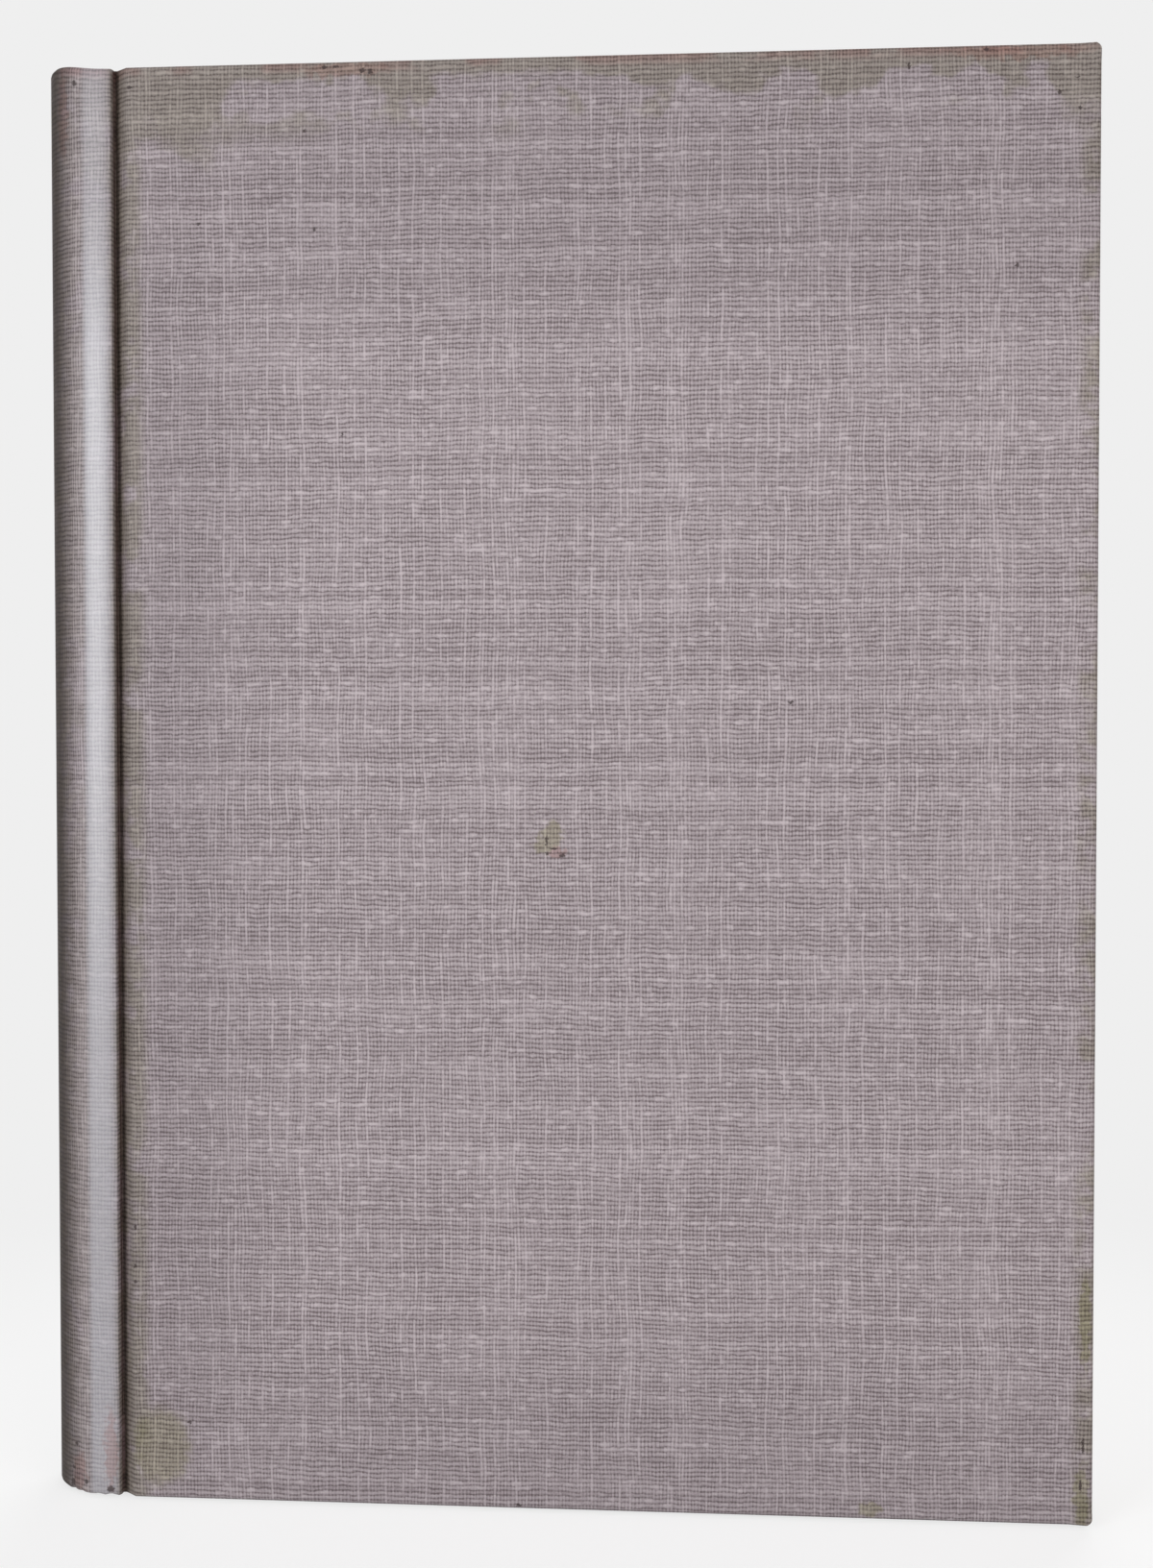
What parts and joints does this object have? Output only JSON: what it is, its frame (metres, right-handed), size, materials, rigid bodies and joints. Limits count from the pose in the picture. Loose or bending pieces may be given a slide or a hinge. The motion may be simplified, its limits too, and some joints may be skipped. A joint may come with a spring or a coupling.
{
  "type": "hardback book",
  "caption": "Cloth-bound hardback book with a rounded spine, grooved hinges, head and tail bands, and front and back covers that open.",
  "frame": {"origin": "middle of the tail edges, on the surface that the closed book stands on", "axes": "+Z towards the head of the book, +X towards the fore-edge, -Y out of the front cover"},
  "size_m": [0.158, 0.022, 0.216],
  "materials": {
    "book_cloth": "worn linen-weave book cloth, grey with a faint mauve cast",
    "board": "dense grey-brown binder's board",
    "pages": "aged cream paper, trimmed edges",
    "endpaper": "aged cream wove paper, matte",
    "mull": "open-weave sized cotton",
    "lining_paper": "brown kraft paper",
    "band_thread": "woven cotton bead, cream and grey"
  },
  "bodies": {
    "book_block": {"text_block": "pages", "mull": "mull", "spine_lining": "lining_paper", "headband": "band_thread", "tailband": "band_thread", "spine_inlay": "board", "spine_cloth": "book_cloth", "front_flyleaf": "endpaper", "back_flyleaf": "endpaper"},
    "front_cover": {"front_board": "board", "front_cloth": "book_cloth", "front_mull_flap": "mull", "front_pastedown": "endpaper"},
    "back_cover": {"back_board": "board", "back_cloth": "book_cloth", "back_mull_flap": "mull", "back_pastedown": "endpaper"}
  },
  "joints": [
    {"name": "front_cover_hinge", "type": "hinge", "parent": "book_block", "child": "front_cover", "pos_m": [-0.0668, -0.0113, 0.108], "axis": [0, 0, -1], "range_deg": [0, 179]},
    {"name": "back_cover_hinge", "type": "hinge", "parent": "book_block", "child": "back_cover", "pos_m": [-0.0668, 0.0113, 0.108], "axis": [0, 0, 1], "range_deg": [0, 179]}
  ]
}
